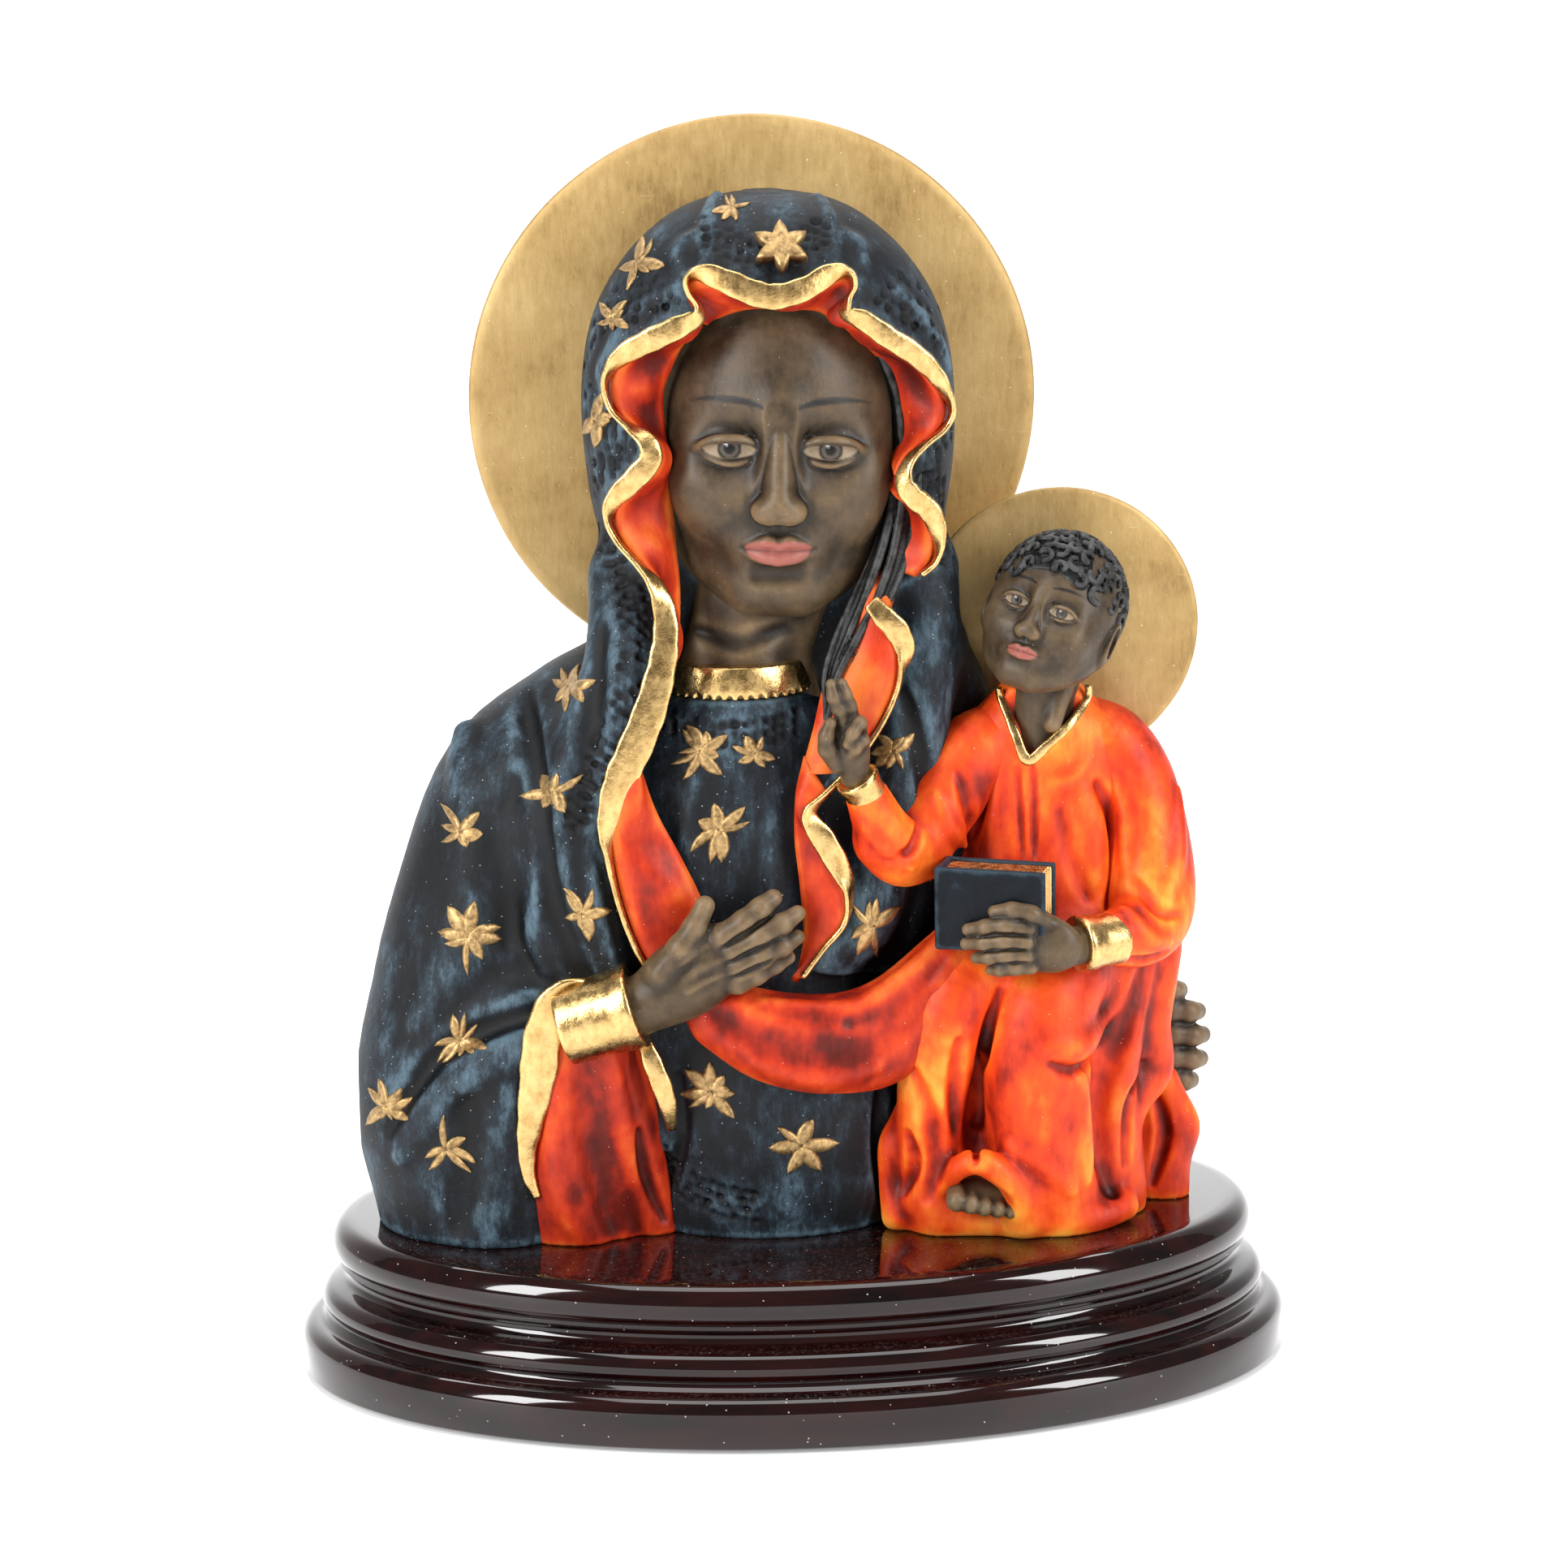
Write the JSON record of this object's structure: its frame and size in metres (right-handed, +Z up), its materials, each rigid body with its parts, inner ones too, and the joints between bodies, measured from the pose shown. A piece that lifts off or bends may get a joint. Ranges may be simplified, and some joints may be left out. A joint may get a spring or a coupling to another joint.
{
  "type": "madonna statue",
  "caption": "Half-length cast statue of a veiled mother and a seated child with gilt disc halos, screwed to an oval moulded wooden plinth.",
  "frame": {"origin": "centre of the felt underlay's resting face, under the middle of the oval plinth", "axes": "+Z up, the figures face -Y, +X to the right of a viewer in front; X along the oval's length"},
  "size_m": [0.24, 0.148, 0.2995],
  "materials": {
    "lacquered_wood": "high gloss black-mahogany lacquer",
    "felt": "soft nap",
    "zinc_screws": "zinc plated",
    "night_blue_paint": "night-blue paint, grey-blue dry brushing, painted gold stars",
    "gold_leaf": "worn gold leaf",
    "skin_paint": "dark satin skin paint",
    "hair_paint": "black paint, grey dry brushing",
    "lining_paint": "orange-red wash over dark red",
    "orange_paint": "orange and yellow wash over red",
    "book_black": "black satin paint",
    "halo_gilt": "dull brushed gilding",
    "brass_pin": "bare brass"
  },
  "bodies": {
    "root": {"plinth": "lacquered_wood", "felt_underlay": "felt", "fixing_screws": "zinc_screws", "mantle": "night_blue_paint", "left_sleeve": "night_blue_paint", "tunic": "night_blue_paint", "neck_collar": "gold_leaf", "madonna_head": "skin_paint", "hair_lock": "hair_paint", "veil_hem": "gold_leaf", "forehead_star": "gold_leaf", "mantle_swag": "lining_paint", "sleeve_lining": "lining_paint", "right_cuff": "gold_leaf", "right_hand": "skin_paint", "left_hand": "skin_paint", "child_robe": "orange_paint", "robe_tail": "orange_paint", "child_head": "skin_paint", "child_hair": "hair_paint", "child_right_sleeve": "orange_paint", "child_left_sleeve": "orange_paint", "child_cuffs": "gold_leaf", "child_right_hand": "skin_paint", "child_left_hand": "skin_paint", "child_foot": "skin_paint", "book_cover": "book_black", "book_pages": "gold_leaf", "large_halo": "halo_gilt", "child_halo": "halo_gilt", "halo_pins": "brass_pin"}
  },
  "joints": []
}
